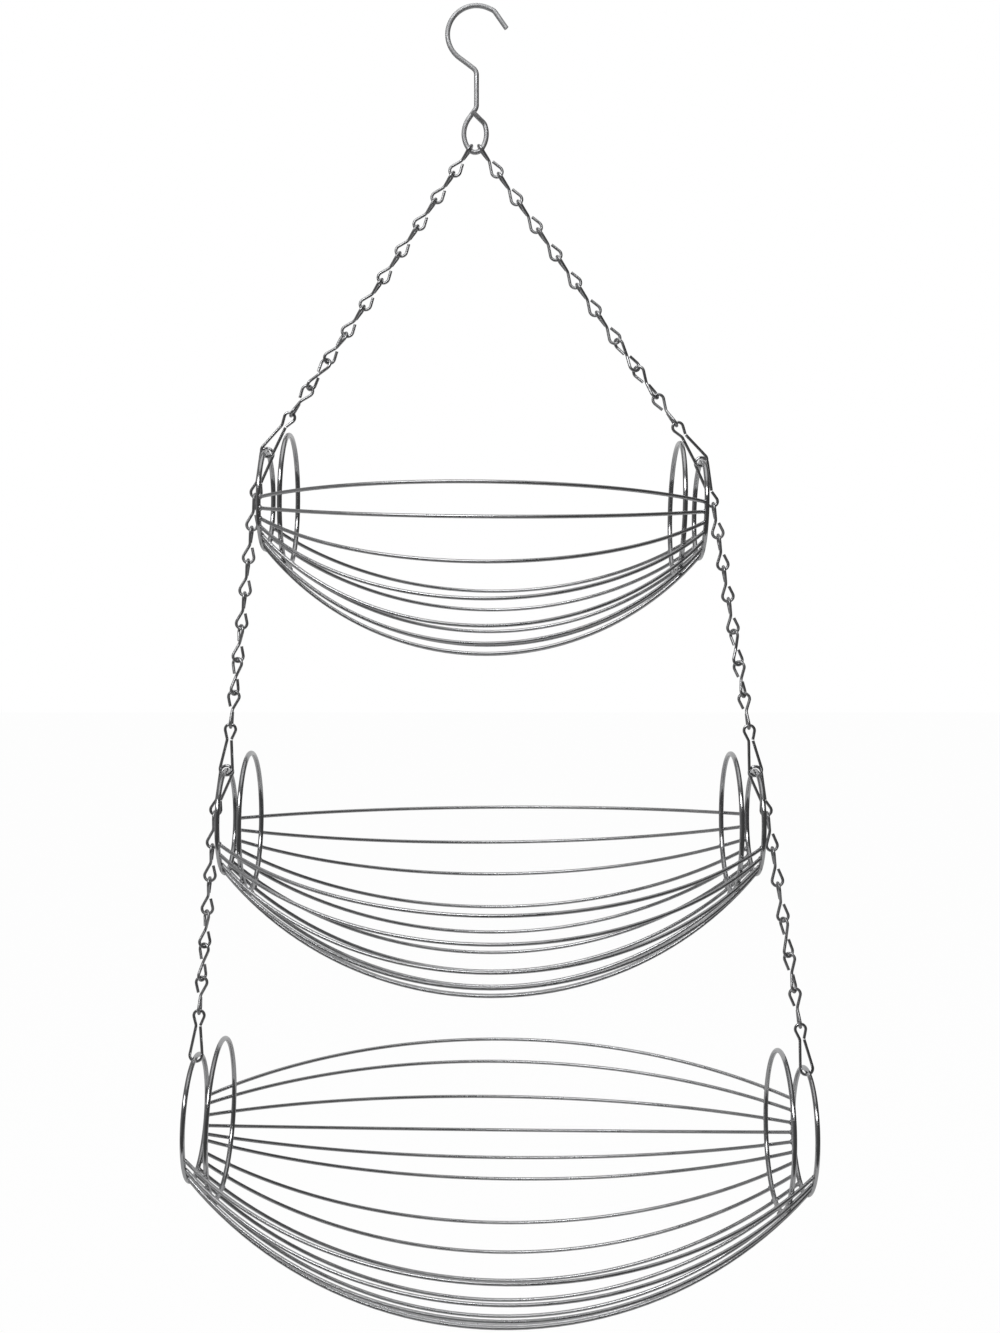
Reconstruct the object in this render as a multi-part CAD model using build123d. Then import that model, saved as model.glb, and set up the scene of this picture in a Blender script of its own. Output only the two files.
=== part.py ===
from build123d import *
import math
import os

# A three tier hanging basket of chromed wire, hung up by its hook.
# The origin is the seat under the top of the hook's crook, where a rod or a ceiling hook carries it.
# X runs along the baskets to the right, Y from the front to the back, Z up. Sizes are in millimetres.

# Wire thicknesses
hook_wire = 3.0
ring_wire = 3.0
basket_wire = 2.2
chain_wire = 1.8
clip_wire = 1.8

# Room left between two pieces
rest_gap = 0.2         # where one wire hangs in another
ring_gap = 0.35        # where a clip goes round a ring that turns in it
weld_gap = 0.15        # where a basket wire is welded to a ring
lap_gap = 0.5          # where the hook's cut end laps over its stem

# Hook: an open crook with a straight tip, a straight stem and an oval eye
crook_radius = 17.7    # to the middle of the wire
crook_first_angle = 66.0
crook_last_angle = 233.0
tip_run = 3.9          # straight on from the crook to the tip's bend
tip_length = 13.2      # from that bend to the cut end
tip_turn = 31.0
tip_bend = 5.0
stem_bend = 5.0
eye_foot = 88.4        # from the seat down to the middle of the wire at the bottom of the eye
eye_radius = 4.8       # round the bottom of the eye
eye_side = 6.9         # from the middle of the eye out to its side, at its widest
eye_side_radius = 16.0
eye_shift = 0.8        # how far the eye sits to the left of the stem
eye_left_angle = 35.0  # how far the left side's arc goes on above its widest place
eye_right_angle = 16.0
lap_run = 1.9          # straight on from the right side's arc to where the cut end turns forwards
lap_side = 2.5         # how far the cut end laps over to the left of the stem
lap_drop = 3.7         # how far below the stem's foot the cut end stands
lap_bend = 4.0         # or as much as the wire on each side of it has room for
bend_share = 0.9       # of that room
hang_angle = 68.0      # how far round from the bottom of the eye each strand hangs

# Jack chain: every link has a loop at each end, one turned a quarter from the other
link_pitch = 20.5
link_loop_radius = 3.3
link_waist_bend = 4.0
link_end_side = 1.55
link_end_rise = 1.6
fewest_links = 2       # in one strand
strand_turn = 90.0     # from the first link of a strand to its last
link_turn = 30.0       # from one link to the next, in the links above the last

# Baskets: the span lies between the outer end rings, the rings' radius runs to the middle of their wire,
# the belly's from the axis out to the wires, and the step from an outer ring to the inner ring beside it.
# The middle stands to the right of the hook, the height is the axis's under the hook's seat,
# and the droop is how far the right end hangs lower than the left one.
weld_inset = 1.2       # the wires meet an outer ring this far inside the middle of its wire
bottom_angle = 26.0    # wires nearer the lowest line than this belong to the bottom of the basket

top_span = 266.1
top_ring_radius = 29.6
top_belly_radius = 91.9
top_ring_step = 14.1
top_middle = 4.1
top_height = 304.5
top_droop = 5.6
top_roll = -17.0       # how far the basket is turned on its axis

middle_span = 323.8
middle_ring_radius = 31.3
middle_belly_radius = 104.7
middle_ring_step = 14.7
middle_middle = 8.8
middle_height = 498.4
middle_droop = 0.5
middle_roll = 11.5

bottom_span = 373.6
bottom_ring_radius = 37.3
bottom_belly_radius = 114.8
bottom_ring_step = 15.6
bottom_middle = 14.4
bottom_height = 683.3
bottom_droop = 8.2
bottom_roll = 21.0

# Snap clips: a small eye for the chain and a long loop for the ring
clip_length = 33.0     # over all
clip_eye_radius = 3.2
clip_loop_radius = 3.8
clip_eye_length = 9.4
clip_waist_side = 1.3
clip_waist_bend = 4.0
clip_mouth = 0.6       # between the two cut ends at the waist
clip_lane = 1.75       # how far a clip sits in front of or behind the top of its ring
clip_tilt = 16.0       # how far a clip that hangs from a ring leans outwards


class Basket:
    """One bowed wire basket. Its wires run from one end ring to the other, in angle tables.

    An angle is taken at the basket's axis from its lowest line, towards the back where it is positive.
    """

    def __init__(self, name, span, ring_radius, belly_radius, ring_step, middle, height, droop, roll):
        self.name = name
        self.span = span
        self.ring_radius = ring_radius
        self.belly_radius = belly_radius
        self.ring_step = ring_step
        self.middle = middle
        self.height = height
        self.droop = droop
        self.roll = roll
        self.wires = []


top = Basket("top", top_span, top_ring_radius, top_belly_radius, top_ring_step,
             top_middle, top_height, top_droop, top_roll)
middle = Basket("middle", middle_span, middle_ring_radius, middle_belly_radius, middle_ring_step,
                middle_middle, middle_height, middle_droop, middle_roll)
bottom = Basket("bottom", bottom_span, bottom_ring_radius, bottom_belly_radius, bottom_ring_step,
                bottom_middle, bottom_height, bottom_droop, bottom_roll)

# Each wire's angle at the left ring, at the middle and at the right ring, from the front to the back
top.wires = [
    (-71, -75, -76), (-58, -63, -65), (-46, -47, -53), (-35, -32, -41),
    (-24, -18, -28), (-12, -5, -15), (1, 9, -1), (15, 24, 13),
    (30, 39, 28), (45, 51, 43), (61, 65, 59), (78, 75, 76),
]
middle.wires = [
    (-82, -78, -78), (-68, -67, -64), (-53, -53, -50), (-40, -41, -38),
    (-28, -28, -27), (-16, -17, -16), (-4, -4, -5), (8, 8, 7),
    (19, 19, 19), (30, 29, 30), (41, 40, 41), (51, 53, 53),
    (63, 65, 68), (76, 78, 82),
]
bottom.wires = [
    (-87, -81, -83), (-75, -71, -72), (-62, -59, -61), (-50, -48, -50),
    (-38, -36, -39), (-26, -25, -28), (-15, -14, -17), (-4, -4, -6),
    (8, 8, 8), (18, 19, 21), (30, 34, 31), (36, 41, 41),
    (44, 50, 50), (54, 61, 59), (65, 73, 71), (73, 81, 83),
]


def across_and_up(origin, across, up, place):
    """The point that lies place[0] along across and place[1] along up from the origin."""
    return origin + across * place[0] + up * place[1]


def tangent_place(outside, centre, radius, side):
    """Where a line from outside touches a circle, on its right for side 1 and on its left for side -1."""
    reach = math.hypot(outside[0] - centre[0], outside[1] - centre[1])
    toward = math.atan2(outside[1] - centre[1], outside[0] - centre[0])
    angle = toward + side * math.acos(radius / reach)
    return (centre[0] + radius * math.cos(angle), centre[1] + radius * math.sin(angle))


def loop_points(origin, across, up, start, finish, side, reach, radius):
    """A teardrop loop: where the wire from start meets its round end, its crown, and where it leaves."""
    centre = (0, reach - radius)
    first = tangent_place(start, centre, radius, side)
    last = tangent_place(finish, centre, radius, -side)
    places = [first, (0, reach), last]
    return [across_and_up(origin, across, up, place) for place in places]


def wire_along(edges, thickness):
    """One round wire along a path of lines and arcs."""
    path = Wire(edges)
    section = Plane(origin=path @ 0, z_dir=path % 0) * Circle(thickness / 2)
    return sweep(section, path=path)


def square_to(direction, wanted):
    """The direction nearest to wanted that is square to the given one."""
    return (wanted - direction * wanted.dot(direction)).normalized()


def turned(direction, about, angle):
    """A direction square to about, turned round it."""
    side = about.cross(direction)
    return direction * math.cos(math.radians(angle)) + side * math.sin(math.radians(angle))


def upright_arc(centre, radius, first_angle, last_angle):
    """An arc in the hook's own plane, between two angles from the right, upwards."""
    points = []
    for angle in (first_angle, (first_angle + last_angle) / 2, last_angle):
        turn = math.radians(angle)
        points.append(centre + Vector(radius * math.cos(turn), 0, radius * math.sin(turn)))
    return ThreePointArc(*points)


def hook_tip(arc):
    """The straight tip, from its cut end to where the crook's arc starts."""
    back = arc.tangent_at(0) * -1
    bend = arc @ 0 + back * tip_run
    cut_end = bend + back.rotate(Axis.Y, tip_turn) * tip_length
    return FilletPolyline(cut_end, bend, arc @ 0, radius=tip_bend)


def eye_arcs():
    """The left side, the bottom and the right side of the eye, three arcs that run smoothly on."""
    foot = eye_centre()
    reach = eye_side_radius - eye_side
    rise = math.sqrt((eye_side_radius - eye_radius) ** 2 - reach ** 2)
    left = foot + Vector(reach, 0, rise)
    right = foot + Vector(-reach, 0, rise)
    fall = math.degrees(math.atan2(-rise, reach))
    return [
        upright_arc(left, eye_side_radius, 180 - eye_left_angle, 180 - fall),
        upright_arc(foot, eye_radius, 180 - fall, 360 + fall),
        upright_arc(right, eye_side_radius, fall, eye_right_angle),
    ]


def bend_room(before, corner, after):
    """The largest radius that a bend has room for between two straight runs."""
    first, last = corner - before, after - corner
    turn = math.radians(first.get_angle(last))
    return bend_share * min(first.length, last.length) / math.tan(turn / 2)


def hook():
    """The crook, the stem and the eye, one bent wire whose cut end laps over the front of the stem."""
    middle_point = Vector(0, 0, hook_wire / 2 - crook_radius)
    arc = upright_arc(middle_point, crook_radius, crook_first_angle, crook_last_angle)
    end, heading = arc @ 1, arc % 1
    elbow = end + heading * (-end.X / heading.X)
    sides = eye_arcs()
    shoulder, lean = sides[0] @ 0, sides[0] % 0
    foot = shoulder - lean * (shoulder.X / lean.X)
    stem = FilletPolyline(end, elbow, foot, shoulder, radius=stem_bend)
    neck = sides[2] @ 1
    corner = neck + (sides[2] % 1) * lap_run
    cut_end = Vector(-lap_side, -hook_wire - lap_gap, foot.Z - lap_drop)
    tail = FilletPolyline(neck, corner, cut_end, radius=min(lap_bend, bend_room(neck, corner, cut_end)))
    return wire_along(hook_tip(arc).edges() + [arc] + stem.edges() + sides + tail.edges(), hook_wire)


def eye_centre():
    """The middle of the round bottom of the hook's eye."""
    return Vector(-eye_shift, 0, eye_radius - eye_foot)


def chain_link(high, low, turn):
    """A bent link between the seat that it hangs on and the seat that it carries."""
    up = (high - low).normalized()
    first = turned(square_to(up, Vector(0, 1, 0)), up, turn)
    second = up.cross(first)
    waist = (high + low) * 0.5
    reach = (high - low).length / 2 + (chain_wire + rest_gap) / 2
    shut = (link_end_side, link_end_rise)
    side_shut = (-link_end_side, link_end_rise)
    upper = loop_points(waist, first, up, shut, (0, 0), 1, reach, link_loop_radius)
    lower = loop_points(waist, second, up * -1, (0, 0), side_shut, 1, reach, link_loop_radius)
    start = across_and_up(waist, first, up, shut)
    finish = across_and_up(waist, second, up * -1, side_shut)
    body = FilletPolyline(upper[2], waist, lower[0], radius=link_waist_bend)
    edges = [Line(start, upper[0]), ThreePointArc(*upper)] + body.edges()
    return wire_along(edges + [ThreePointArc(*lower), Line(lower[2], finish)], chain_wire)


def chain(high, low, count):
    """The separate links of a strand, from the seat at its top to the seat at its foot."""
    links = []
    step = max(link_turn, strand_turn / (count - 1))
    for index in range(count):
        turn = max(strand_turn - step * (count - 1 - index), 0)
        upper_seat = high + (low - high) * (index / count)
        lower_seat = high + (low - high) * ((index + 1) / count)
        links.append(chain_link(upper_seat, lower_seat, turn))
    return links


def link_count(high, low):
    """How many links of about the chain's pitch fill a strand."""
    return max(round((high - low).length / link_pitch), fewest_links)


def snap_clip(ring_point, seat):
    """A clip with its long loop round a ring's wire and its eye at the seat of the chain."""
    axis = (seat - ring_point).normalized()
    across = square_to(axis, Vector(1, 0, 0))
    waist = seat + axis * ((clip_wire + rest_gap) / 2 - clip_eye_length)
    loop_length = clip_length - clip_wire - clip_eye_length
    cut_end = (clip_waist_side, clip_mouth / 2)
    bend = (-clip_waist_side, 0)
    eye = loop_points(waist, across, axis, cut_end, bend, 1, clip_eye_length, clip_eye_radius)
    side_end = (-clip_waist_side, clip_mouth / 2)
    loop = loop_points(waist, across * -1, axis * -1, (clip_waist_side, 0), side_end,
                       1, loop_length, clip_loop_radius)
    start = across_and_up(waist, across, axis, cut_end)
    finish = across_and_up(waist, across, axis * -1, cut_end)
    body = FilletPolyline(eye[2], across_and_up(waist, across, axis, bend), loop[0], radius=clip_waist_bend)
    edges = [Line(start, eye[0]), ThreePointArc(*eye)] + body.edges()
    return wire_along(edges + [ThreePointArc(*loop), Line(loop[2], finish)], clip_wire)


def clip_reach():
    """From the middle of a ring's wire to the seat at the clip's eye."""
    grip = (ring_wire + clip_wire) / 2 + ring_gap
    return clip_length - clip_wire - grip - (clip_wire + rest_gap) / 2


def level(basket):
    """Where the basket's axis hangs, before the basket is turned on it."""
    slope = math.degrees(math.asin(basket.droop / basket.span))
    return Pos(basket.middle, 0, -basket.height) * Rot(0, slope, 0)


def placed(basket):
    """Where the basket hangs, turned on its axis."""
    return level(basket) * Rot(basket.roll, 0, 0)


def ring_top(basket, end, lane):
    """The middle of an outer ring's wire at its top, for end -1 at the left or 1 at the right."""
    rise = math.sqrt(basket.ring_radius ** 2 - lane ** 2)
    return (level(basket) * Pos(end * basket.span / 2, lane, rise)).position


def bow(basket):
    """The circle that a basket's wire follows: its radius, and how far its middle stands out."""
    half = basket.span / 2
    rise = basket.belly_radius - weld_radius(basket)
    return (half ** 2 + rise ** 2) / (2 * rise), rise


def weld_radius(basket):
    """How far from the axis the wires meet the outer rings."""
    return basket.ring_radius - weld_inset


def inner_ring_radius(basket):
    """The inner ring lies inside the wires and touches them where they cross it."""
    radius, rise = bow(basket)
    along = basket.span / 2 - basket.ring_step
    out = weld_radius(basket) + math.sqrt(radius ** 2 - along ** 2) - (radius - rise)
    slope = math.asin(along / radius)
    return out - ((ring_wire + basket_wire) / 2 + weld_gap) / math.cos(slope)


def end_ring(basket, end, inner):
    """A round ring of wire square to the basket's axis."""
    radius = inner_ring_radius(basket) if inner else basket.ring_radius
    along = basket.span / 2 - (basket.ring_step if inner else 0)
    ring = Pos(end * along, 0, 0) * Rot(0, 90, 0) * Torus(radius, ring_wire / 2)
    return placed(basket) * ring


def bowed_wire(basket, angles):
    """One wire from the left outer ring, out over the belly and in to the right outer ring."""
    radii = (weld_radius(basket), basket.belly_radius, weld_radius(basket))
    places = (-basket.span / 2, 0, basket.span / 2)
    points = []
    for along, radius, angle in zip(places, radii, angles):
        turn = math.radians(angle)
        points.append(Vector(along, radius * math.sin(turn), -radius * math.cos(turn)))
    whole = ThreePointArc(*points)
    slope = math.asin(basket.span / 2 / bow(basket)[0])
    cut = (weld_inset * math.sin(slope) + ring_wire / 2 + weld_gap) / whole.length
    return placed(basket) * wire_along([whole.trim(cut, 1 - cut)], basket_wire)


def wire_group(basket, index):
    """The part of the basket that a wire belongs to."""
    angle = basket.wires[index][1]
    if index == 0:
        return "front_rim_wire"
    if index == len(basket.wires) - 1:
        return "back_rim_wire"
    if abs(angle) < bottom_angle:
        return "bottom_wires"
    return "front_wires" if angle < 0 else "back_wires"


def basket_nodes(basket):
    """The rings and the wires of one basket, by node."""
    nodes = {}
    for side, end in (("left", -1), ("right", 1)):
        nodes[f"{basket.name}_outer_ring_{side}"] = [end_ring(basket, end, False)]
        nodes[f"{basket.name}_inner_ring_{side}"] = [end_ring(basket, end, True)]
    for index, angles in enumerate(basket.wires):
        node = f"{basket.name}_{wire_group(basket, index)}"
        nodes.setdefault(node, []).append(bowed_wire(basket, angles))
    return nodes


def upper_strand(end):
    """The seats of the strand from the hook's eye to the top basket: eye, clip and ring."""
    ring_point = ring_top(top, end, -clip_lane)
    turn = math.radians(hang_angle)
    out = Vector(end * math.sin(turn), 0, -math.cos(turn))
    crown = eye_centre() + out * (eye_radius - (hook_wire + chain_wire) / 2 - rest_gap)
    up = (crown - ring_point).normalized()
    high = crown - up * ((chain_wire + rest_gap) / 2)
    low = ring_point + up * clip_reach()
    return high, low, ring_point


def tier_strand(above, below, end):
    """The seats of a strand between two baskets: ring, upper clip, lower clip and ring."""
    upper_ring = ring_top(above, end, clip_lane)
    lower_ring = ring_top(below, end, -clip_lane)
    lean = math.radians(clip_tilt)
    high = upper_ring + Vector(end * math.sin(lean), 0, -math.cos(lean)) * clip_reach()
    low = lower_ring + (high - lower_ring).normalized() * clip_reach()
    return upper_ring, high, low, lower_ring


def upper_nodes(side, end):
    """The first link, the chain and the clip of one upper strand."""
    high, low, ring_point = upper_strand(end)
    first_link, *others = chain(high, low, link_count(high, low))
    return {
        f"eye_link_{side}": [first_link],
        f"upper_chain_{side}": others,
        f"upper_clip_{side}": [snap_clip(ring_point, low)],
    }


def tier_nodes(above, below, side, end):
    """The two clips and the chain of one strand between two baskets."""
    upper_ring, high, low, lower_ring = tier_strand(above, below, end)
    return {
        f"{below.name}_hanger_clip_{side}": [snap_clip(upper_ring, high)],
        f"{below.name}_chain_{side}": chain(high, low, link_count(high, low)),
        f"{below.name}_ring_clip_{side}": [snap_clip(lower_ring, low)],
    }


def all_nodes():
    """Every piece of the hanger, by node."""
    nodes = {"hook": [hook()]}
    for side, end in (("left", -1), ("right", 1)):
        nodes.update(upper_nodes(side, end))
        nodes.update(tier_nodes(top, middle, side, end))
        nodes.update(tier_nodes(middle, bottom, side, end))
    for basket in (top, middle, bottom):
        nodes.update(basket_nodes(basket))
    return nodes


os.makedirs("parts", exist_ok=True)
for node, solids in all_nodes().items():
    shape = Compound(children=[part for solid in solids for part in solid.solids()])
    export_step(shape, f"parts/{node}.step")
    print(node, len(shape.solids()), round(shape.volume, 1))
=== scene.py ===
import bpy
import bmesh
import math
import random
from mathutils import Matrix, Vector


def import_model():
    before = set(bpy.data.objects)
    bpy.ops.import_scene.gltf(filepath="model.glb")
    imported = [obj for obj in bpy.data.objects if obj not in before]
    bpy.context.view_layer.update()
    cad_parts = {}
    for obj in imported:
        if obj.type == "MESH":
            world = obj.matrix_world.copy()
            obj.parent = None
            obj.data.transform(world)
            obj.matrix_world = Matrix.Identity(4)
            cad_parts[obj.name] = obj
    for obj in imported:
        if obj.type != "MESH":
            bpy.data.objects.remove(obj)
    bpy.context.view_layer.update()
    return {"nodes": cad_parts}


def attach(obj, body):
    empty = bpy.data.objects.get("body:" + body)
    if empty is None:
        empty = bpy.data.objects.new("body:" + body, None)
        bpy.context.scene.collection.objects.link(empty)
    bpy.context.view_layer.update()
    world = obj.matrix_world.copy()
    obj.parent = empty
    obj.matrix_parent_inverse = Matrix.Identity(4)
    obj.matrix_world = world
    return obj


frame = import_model()

# Lengths in metres. The hook's seat is the origin, X goes right, Y back and Z up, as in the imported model.

# The camera
STRANDS_TO_CAMERA = 0.91875
CAMERA_RIGHT = 0.0144
CAMERA_DOWN = 0.4033
FOCAL_PIXELS = 1500             # the focal length, in pixels of the photo
PHOTO_HEIGHT = 1333             # in pixels
SENSOR_HEIGHT = 36.0            # in millimetres
CLIP_START = 0.01
CLIP_END = 60.0

# The floor and the background's light
FLOOR_DOWN = 1.35
FLOOR_HALF = 30.0
FLOOR_TONE = 0.86
FLOOR_WHITE_SHARE = 0.95        # of plain white, where the floor is seen
WORLD_LIGHT = 0.8

# The wires
RING_WIRE = 0.0030
BASKET_WIRE = 0.0022
MERGE = 0.000001                # corners this near are one
END_REACH = 0.0023              # across a cut end
CROSSING_TRIES = 4              # steps towards the place where a wire crosses a ring

# The weld beads: half sizes along the wire, around the ring and across, and how uneven they are
BUTT_BEAD = (0.0009, 0.0017, 0.0014)     # where a wire ends at an outer ring
CROSS_BEAD = (0.0019, 0.0015, 0.0009)    # where a wire crosses an inner ring
BEAD_ROWS = 8
BEAD_COLUMNS = 12
BEAD_RIPPLE = 0.05
BEAD_WAVES = 3
WAVE_COUNTS = (2, 4)            # the fewest and the most around a bead
BEAD_SIZE_SHARES = (0.88, 1.12)

# The chrome: hazy patches, a soft swell and a fine grain
HAZE_SCALE = 55.0
HAZE_DETAIL = 4.0
HAZE_ROUGHNESS = 0.6
HAZE_SPAN = (0.3, 0.7)          # of the noise, from the darkest patch to the lightest
DARK_SHARES = (0.90, 0.91, 0.93)
LIGHT_SHARES = (1.0, 1.0, 1.01)
DULL_SPAN = (0.35, 0.75)        # of the noise, from the clearest patch to the dullest
DULL_SHARE = 2.2
SWELL_SCALE = 160.0
SWELL_DETAIL = 1.0
SWELL_STRENGTH = 0.02
SWELL_DEPTH = 0.0004
GRAIN_SCALE = 900.0
GRAIN_DETAIL = 2.0
GRAIN_STRENGTH = 0.03
GRAIN_DEPTH = 0.00005

# Each kind of piece: its material's name, its roughness and its tone
CHROME = {
    "hook": ("chrome_hook", 0.42, 0.64),
    "ring": ("chrome_ring", 0.11, 0.56),
    "basket": ("chrome_basket_wire", 0.22, 0.58),
    "chain": ("chrome_chain", 0.28, 0.50),
    "clip": ("chrome_clip", 0.12, 0.56),
    "weld": ("chrome_weld", 0.30, 0.50),
}

CARD_RADIUS = 2.4
CARD_FOOT = -1.3
WINDOW_FOOT = 1.0
CARD_HEAD = 2.0
CARD_STEPS = 24
SWEEP_FRONT = 0.4
SWEEP_HEIGHT = -1.1
CEILING_RADIUS = 1.3
CEILING_GAP = 0.01              # between the two cards overhead

# The level cards: radius, middle behind the baskets, height and grey
ROUND_CARDS = {
    "card_low": (CARD_RADIUS, 0, CARD_FOOT, 0.07),
    "card_sweep": (CARD_RADIUS, CARD_RADIUS - SWEEP_FRONT, SWEEP_HEIGHT, 0.50),
    "card_high": (CARD_RADIUS, 0, CARD_HEAD + CEILING_GAP, 0.20),
    "card_ceiling": (CEILING_RADIUS, 0, CARD_HEAD, 0.75),
}

# The cards around: from and to, in degrees to the right of the camera's side, foot and head, and grey
WALL_CARDS = {
    "card_right": ((6, 150), (CARD_FOOT, CARD_HEAD), 0.07),
    "card_front": ((-46, 6), (CARD_FOOT, WINDOW_FOOT), 0.09),
    "card_window": ((-46, 6), (WINDOW_FOOT, CARD_HEAD), 7.0),
    "card_left": ((-150, -46), (CARD_FOOT, CARD_HEAD), 0.22),
    "card_back": ((150, 210), (CARD_FOOT, CARD_HEAD), 0.60),
}

# The lamps: place, side and watts
LAMPS = {
    "soft_left": ((-1.4, -1.6, 1.1), 1.2, 12),
    "soft_top": ((0.0, 0.0, 1.8), 1.6, 14),
}
LAMP_TARGET = (0, 0, -0.45)


def camera():
    """Level, square to the baskets, at the photograph's distance."""
    data = bpy.data.cameras.new("camera")
    data.sensor_fit = "VERTICAL"
    data.sensor_height = SENSOR_HEIGHT
    data.lens = SENSOR_HEIGHT * FOCAL_PIXELS / PHOTO_HEIGHT
    data.clip_start = CLIP_START
    data.clip_end = CLIP_END
    data.dof.use_dof = False
    eye = bpy.data.objects.new("camera", data)
    eye.location = (CAMERA_RIGHT, -STRANDS_TO_CAMERA, -CAMERA_DOWN)
    eye.rotation_euler = (math.radians(90), 0, 0)
    bpy.context.scene.collection.objects.link(eye)
    bpy.context.scene.camera = eye


def nodes_of(material):
    """An empty node tree with its output."""
    material.use_nodes = True
    tree = material.node_tree
    tree.nodes.clear()
    return tree, tree.nodes.new("ShaderNodeOutputMaterial")


def add(tree, kind, inputs=(), **settings):
    """A node with its settings and the values or links of its inputs."""
    node = tree.nodes.new(kind)
    for name, value in settings.items():
        setattr(node, name, value)
    for name, value in dict(inputs).items():
        if isinstance(value, bpy.types.NodeSocket):
            tree.links.new(value, node.inputs[name])
        else:
            node.inputs[name].default_value = value
    return node


def grey_color(tone, shares=(1, 1, 1)):
    """A tone as a color, tinted by a share for each of red, green and blue."""
    return (*(tone * share for share in shares), 1)


def seen_white(tree):
    """1 for the rays that show the background: seen straight, in metal or through glass."""
    rays = add(tree, "ShaderNodeLightPath").outputs
    seen = rays["Is Camera Ray"]
    for kind in ("Is Glossy Ray", "Is Transmission Ray"):
        seen = add(tree, "ShaderNodeMath", {0: seen, 1: rays[kind]}, operation="MAXIMUM").outputs[0]
    return seen


def world():
    """A white background, and a dim even light from it."""
    scene = bpy.context.scene
    scene.world = bpy.data.worlds.new("studio")
    scene.world.use_nodes = True
    tree = scene.world.node_tree
    tree.nodes.clear()
    light = add(tree, "ShaderNodeBackground", {"Color": grey_color(1), "Strength": WORLD_LIGHT})
    white = add(tree, "ShaderNodeBackground", {"Color": grey_color(1), "Strength": 1})
    mixed = add(tree, "ShaderNodeMixShader", {0: seen_white(tree), 1: light.outputs[0],
                                              2: white.outputs[0]})
    out = tree.nodes.new("ShaderNodeOutputWorld")
    tree.links.new(mixed.outputs[0], out.inputs["Surface"])


def mesh_object(name, points, faces, material):
    """A new object of one material, in the scene."""
    mesh = bpy.data.meshes.new(name)
    mesh.from_pydata(points, [], faces)
    mesh.materials.append(material)
    made = bpy.data.objects.new(name, mesh)
    bpy.context.scene.collection.objects.link(made)
    return made


def floor():
    """A plain pale floor under the hanging baskets, as white as the background where it is seen."""
    material = bpy.data.materials.new("floor_white")
    tree, out = nodes_of(material)
    matte = add(tree, "ShaderNodeBsdfDiffuse", {"Color": grey_color(FLOOR_TONE)})
    white = add(tree, "ShaderNodeEmission", {"Color": grey_color(1), "Strength": 1})
    share = add(tree, "ShaderNodeMath", {0: seen_white(tree), 1: FLOOR_WHITE_SHARE}, operation="MULTIPLY")
    mixed = add(tree, "ShaderNodeMixShader", {0: share.outputs[0], 1: matte.outputs[0],
                                              2: white.outputs[0]})
    tree.links.new(mixed.outputs[0], out.inputs["Surface"])
    sides = ((-1, -1), (1, -1), (1, 1), (-1, 1))
    points = [(FLOOR_HALF * right, FLOOR_HALF * back, -FLOOR_DOWN) for right, back in sides]
    mesh_object("floor", points, [(0, 1, 2, 3)], material)


def shade(name, rough, tone):
    """Bright chrome over drawn wire: a fine grain, a soft swell in the plating and thin hazy patches."""
    material = bpy.data.materials.new(name)
    tree, out = nodes_of(material)
    place = add(tree, "ShaderNodeTexCoord").outputs["Object"]
    haze = add(tree, "ShaderNodeTexNoise", {"Vector": place, "Scale": HAZE_SCALE, "Detail": HAZE_DETAIL,
                                            "Roughness": HAZE_ROUGHNESS}).outputs["Fac"]
    fine = add(tree, "ShaderNodeTexNoise", {"Vector": place, "Scale": GRAIN_SCALE, "Detail": GRAIN_DETAIL})
    swell = add(tree, "ShaderNodeTexNoise", {"Vector": place, "Scale": SWELL_SCALE, "Detail": SWELL_DETAIL})
    color = add(tree, "ShaderNodeValToRGB", {"Fac": haze})
    ends = color.color_ramp.elements
    for end, position, shares in zip(ends, HAZE_SPAN, (DARK_SHARES, LIGHT_SHARES)):
        end.position = position
        end.color = grey_color(tone, shares)
    dull = add(tree, "ShaderNodeMapRange", {"Value": haze,
                                            "From Min": DULL_SPAN[0], "From Max": DULL_SPAN[1],
                                            "To Min": rough, "To Max": rough * DULL_SHARE})
    ripple = add(tree, "ShaderNodeBump", {"Height": swell.outputs["Fac"], "Strength": SWELL_STRENGTH,
                                          "Distance": SWELL_DEPTH})
    grain = add(tree, "ShaderNodeBump", {"Height": fine.outputs["Fac"], "Strength": GRAIN_STRENGTH,
                                         "Distance": GRAIN_DEPTH, "Normal": ripple.outputs["Normal"]})
    metal = add(tree, "ShaderNodeBsdfPrincipled", {"Base Color": color.outputs["Color"],
                                                   "Roughness": dull.outputs["Result"], "Metallic": 1.0,
                                                   "Normal": grain.outputs["Normal"]})
    tree.links.new(metal.outputs[0], out.inputs["Surface"])
    return material


def dress(materials):
    """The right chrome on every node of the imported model."""
    for name, node in frame["nodes"].items():
        kind = "basket"
        if name == "hook":
            kind = "hook"
        elif "chain" in name or "link" in name:
            kind = "chain"
        elif "clip" in name:
            kind = "clip"
        elif "ring" in name:
            kind = "ring"
        for slot in node.material_slots:
            slot.material = materials[kind]


def lamp(name, place, side, watts):
    """A soft square lamp that the metal doesn't show: the cards stand for it there."""
    data = bpy.data.lights.new(name, "AREA")
    data.shape = "RECTANGLE"
    data.size = side
    data.size_y = side
    data.energy = watts
    made = bpy.data.objects.new(name, data)
    made.location = place
    aim = Vector(LAMP_TARGET) - Vector(place)
    made.rotation_euler = aim.to_track_quat("-Z", "Y").to_euler()
    bpy.context.scene.collection.objects.link(made)
    made.visible_camera = False
    made.visible_glossy = False


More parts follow.
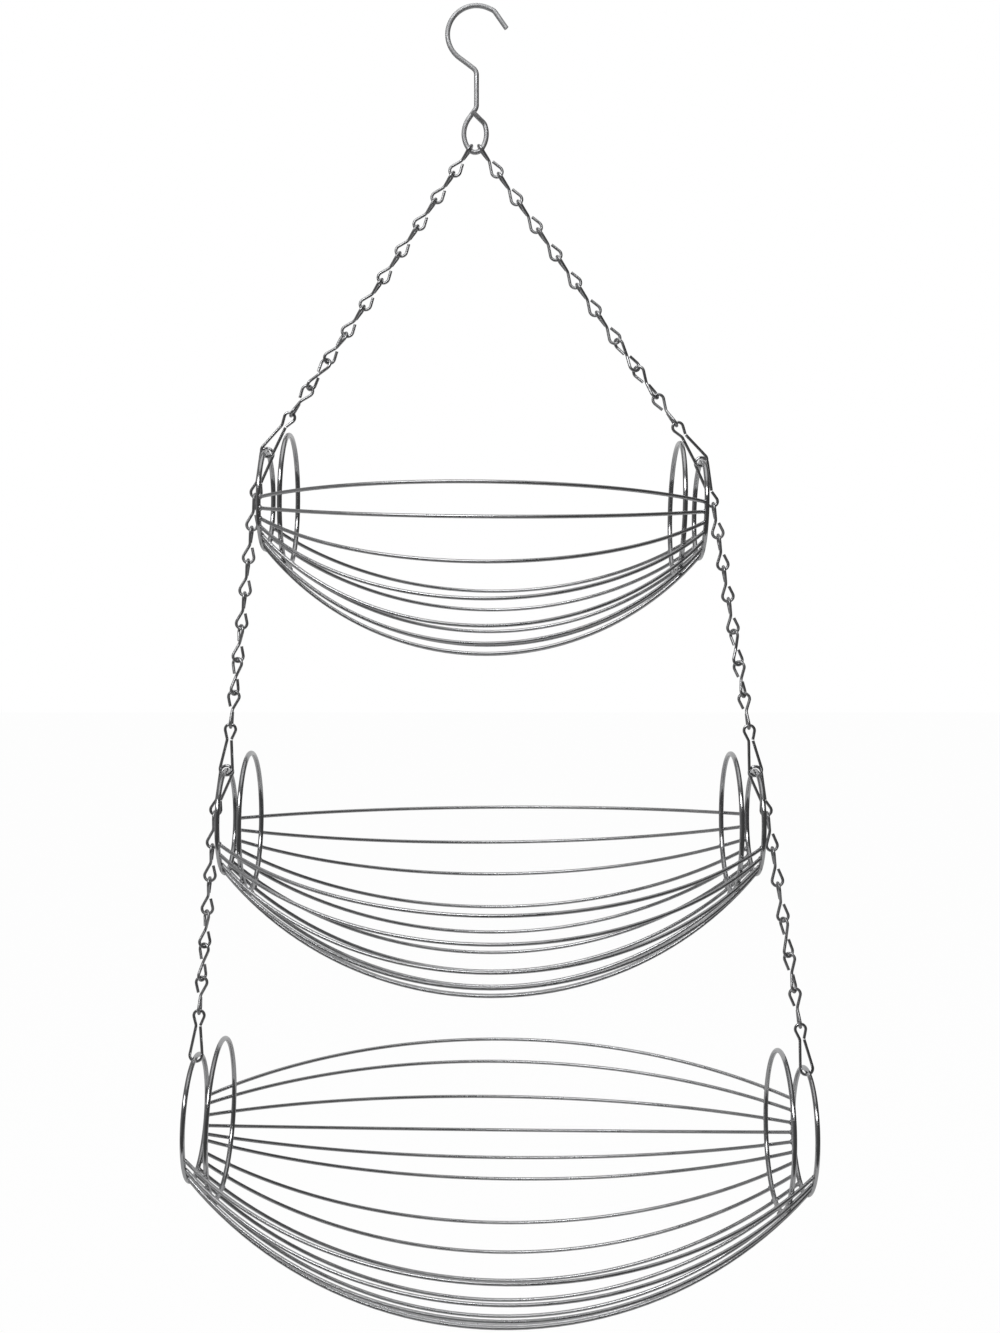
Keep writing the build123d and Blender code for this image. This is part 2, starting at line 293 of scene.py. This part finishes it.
def card_paper(grey):
    """An even tone, made once and used again."""
    name = "card_%g" % grey
    if name in bpy.data.materials:
        return bpy.data.materials[name]
    material = bpy.data.materials.new(name)
    tree, out = nodes_of(material)
    tone = add(tree, "ShaderNodeEmission", {"Color": grey_color(grey), "Strength": 1})
    tree.links.new(tone.outputs[0], out.inputs["Surface"])
    return material


def stand(card):
    """Only the metal shows a card: the camera, the light and the shadows pass it."""
    card.visible_camera = False
    card.visible_diffuse = False
    card.visible_shadow = False
    card.visible_transmission = False


def wall_card(name, azimuths, heights, grey):
    """A card that bends round the baskets, between two directions and two heights."""
    points, faces = [], []
    for index in range(CARD_STEPS + 1):
        turn = math.radians(azimuths[0] + (azimuths[1] - azimuths[0]) * index / CARD_STEPS)
        for height in heights:
            points.append((CARD_RADIUS * math.sin(turn), -CARD_RADIUS * math.cos(turn), height))
    for index in range(CARD_STEPS):
        low = 2 * index
        faces.append((low, low + 2, low + 3, low + 1))
    stand(mesh_object(name, points, faces, card_paper(grey)))


def round_card(name, radius, back, height, grey):
    """A level round card above or below the baskets, with its middle some way behind them."""
    points = []
    for index in range(4 * CARD_STEPS):
        turn = math.tau * index / (4 * CARD_STEPS)
        points.append((radius * math.sin(turn), back - radius * math.cos(turn), height))
    stand(mesh_object(name, points, [tuple(range(len(points)))], card_paper(grey)))


def solids_of(node):
    """The corners of each separate solid in a CAD node, in the order of its mesh, so each run is alike."""
    mesh = bmesh.new()
    mesh.from_mesh(node.data)
    bmesh.ops.remove_doubles(mesh, verts=mesh.verts, dist=MERGE)
    seen = set()
    solids = []
    for start in mesh.verts:
        if start in seen:
            continue
        seen.add(start)
        front = [start]
        corners = []
        while front:
            corner = front.pop()
            corners.append(corner.co.copy())
            for edge in corner.link_edges:
                beside = edge.other_vert(corner)
                if beside not in seen:
                    seen.add(beside)
                    front.append(beside)
        solids.append(corners)
    mesh.free()
    return solids


def middle_of(points):
    """The mean of some points."""
    return sum(points, Vector()) / len(points)


class Ring:
    """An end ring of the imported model: its centre, its axis and the radius to the middle of its wire."""

    def __init__(self, name, axis):
        corners = solids_of(frame["nodes"][name])[0]
        self.centre = middle_of(corners)
        self.axis = axis
        self.radius = max((corner - self.centre).length for corner in corners) - RING_WIRE / 2

    def nearest(self, point):
        """The place on the middle of the ring's wire that is nearest to a point."""
        out = point - self.centre
        out -= self.axis * out.dot(self.axis)
        return self.centre + out.normalized() * self.radius


class BowedWire:
    """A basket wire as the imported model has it: an arc between the middles of its two cut ends."""

    def __init__(self, corners):
        self.ends = [self.cut_end(corners, side) for side in (-1, 1)]
        self.middle = middle_of(self.ends)
        self.along = (self.ends[1] - self.ends[0]).normalized()
        half = (self.ends[1] - self.ends[0]).length / 2
        lifts = []
        for corner in corners:
            lift = corner - self.middle
            lifts.append(lift - self.along * lift.dot(self.along))
        self.out = middle_of(lifts).normalized()
        rise = max(lift.length for lift in lifts) - BASKET_WIRE / 2
        self.radius = (half ** 2 + rise ** 2) / (2 * rise)
        self.sink = self.radius - rise

    def cut_end(self, corners, side):
        """The middle of the cut at the left end, for -1, or the right end, for 1."""
        tip = max(corners, key=lambda corner: side * corner.x)
        return middle_of([corner for corner in corners if (corner - tip).length < END_REACH])

    def point(self, step):
        """The middle of the wire, a step along from its highest place."""
        rise = math.sqrt(self.radius ** 2 - step ** 2) - self.sink
        return self.middle + self.along * step + self.out * rise

    def crossing(self, ring):
        """Where the wire passes through a ring's plane, and the way that it runs there."""
        step = (ring.centre - self.middle).dot(self.along)
        for turn in range(CROSSING_TRIES):
            step -= (self.point(step) - ring.centre).dot(ring.axis) / self.along.dot(ring.axis)
        run = self.point(step + BASKET_WIRE) - self.point(step - BASKET_WIRE)
        return self.point(step), run.normalized()


def bead(points, faces, centre, axes, sizes, dice):
    """One weld bead: a rounded lump with an uneven skin, between two poles on its first axis."""
    first = len(points)
    waves = [(dice.uniform(0, math.tau), dice.randint(*WAVE_COUNTS)) for turn in range(BEAD_WAVES)]
    for row in range(1, BEAD_ROWS):
        tilt = math.pi * row / BEAD_ROWS
        for column in range(BEAD_COLUMNS):
            turn = math.tau * column / BEAD_COLUMNS
            ripple = BEAD_RIPPLE * sum(math.sin(count * turn + start + 2 * tilt) for start, count in waves)
            swell = 1 + ripple * math.sin(tilt)
            shares = (math.cos(tilt), math.sin(tilt) * math.cos(turn), math.sin(tilt) * math.sin(turn))
            points.append(centre + weighed(axes, sizes, [share * swell for share in shares]))
    poles = (len(points), len(points) + 1)
    points += [centre + axes[0] * sizes[0], centre - axes[0] * sizes[0]]
    last = poles[0] - BEAD_COLUMNS
    for column in range(BEAD_COLUMNS):
        beside = (column + 1) % BEAD_COLUMNS
        faces.append((poles[0], first + beside, first + column))
        faces.append((poles[1], last + column, last + beside))
        for low in range(first, last, BEAD_COLUMNS):
            high = low + BEAD_COLUMNS
            faces.append((low + column, low + beside, high + beside, high + column))


def weighed(axes, sizes, shares):
    """A step along three axes at once."""
    return sum((axis * size * share for axis, size, share in zip(axes, sizes, shares)), Vector())


def ring_welds(basket, ring_name, wires, axis, side):
    """The beads that hold a basket's wires to one ring, one mesh that rides on the basket."""
    ring = Ring(ring_name, axis)
    dice = random.Random(ring_name)
    points, faces = [], []
    for wire in wires:
        size = dice.uniform(*BEAD_SIZE_SHARES)
        if "outer" in ring_name:
            end = wire.ends[side]
            seat = ring.nearest(end)
            run = (seat - end).normalized()
            centre = seat - run * RING_WIRE / 2
            sizes = BUTT_BEAD
        else:
            cross, run = wire.crossing(ring)
            seat = ring.nearest(cross)
            centre = seat.lerp(cross, RING_WIRE / (RING_WIRE + BASKET_WIRE))
            sizes = CROSS_BEAD
        around = ring.axis.cross(seat - ring.centre).normalized()
        axes = (run, around, run.cross(around).normalized())
        bead(points, faces, centre, axes, [length * size for length in sizes], dice)
    made = mesh_object(ring_name + "_welds", points, faces, materials["weld"])
    for polygon in made.data.polygons:
        polygon.use_smooth = True
    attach(made, basket + "_basket")


def weld_basket(basket):
    """Every bead of one basket."""
    wires = []
    for group in ("front_rim_wire", "front_wires", "bottom_wires", "back_wires", "back_rim_wire"):
        wires += [BowedWire(corners) for corners in solids_of(frame["nodes"][f"{basket}_{group}"])]
    rings = [frame["nodes"][f"{basket}_outer_ring_{side}"] for side in ("left", "right")]
    left, right = [middle_of(solids_of(ring)[0]) for ring in rings]
    axis = (right - left).normalized()
    for kind in ("outer", "inner"):
        for side, name in enumerate(("left", "right")):
            ring_welds(basket, f"{basket}_{kind}_ring_{name}", wires, axis, side)


bpy.context.scene.view_settings.view_transform = "Standard"
camera()
world()
floor()
materials = {kind: shade(*values) for kind, values in CHROME.items()}
dress(materials)
for basket in ("top", "middle", "bottom"):
    weld_basket(basket)
for name, values in ROUND_CARDS.items():
    round_card(name, *values)
for name, values in WALL_CARDS.items():
    wall_card(name, *values)
for name, values in LAMPS.items():
    lamp(name, *values)
